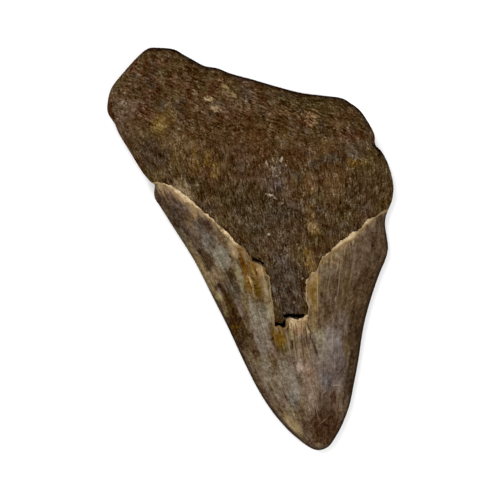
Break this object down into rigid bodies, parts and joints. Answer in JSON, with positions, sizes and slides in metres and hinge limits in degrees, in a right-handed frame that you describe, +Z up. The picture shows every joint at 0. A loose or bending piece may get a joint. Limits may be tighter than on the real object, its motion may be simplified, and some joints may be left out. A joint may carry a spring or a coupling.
{
  "type": "megalodon tooth",
  "caption": "Large fossil shark tooth with a broad pitted root, a bare dentine tongue and a triangular crown whose enamel is broken away at its foot.",
  "frame": {"origin": "on the surface that the tooth lies on, under the middle of its box", "axes": "+Y from the crown's tip to the root, +Z up out of the lingual face, +X to the right with the root at the top"},
  "size_m": [0.0706, 0.1132, 0.0209],
  "materials": {
    "fossil_tooth": "matt brown pitted bone, with satin grey and brown enamel on the crown"
  },
  "bodies": {
    "root": {"tooth": "fossil_tooth"}
  },
  "joints": []
}
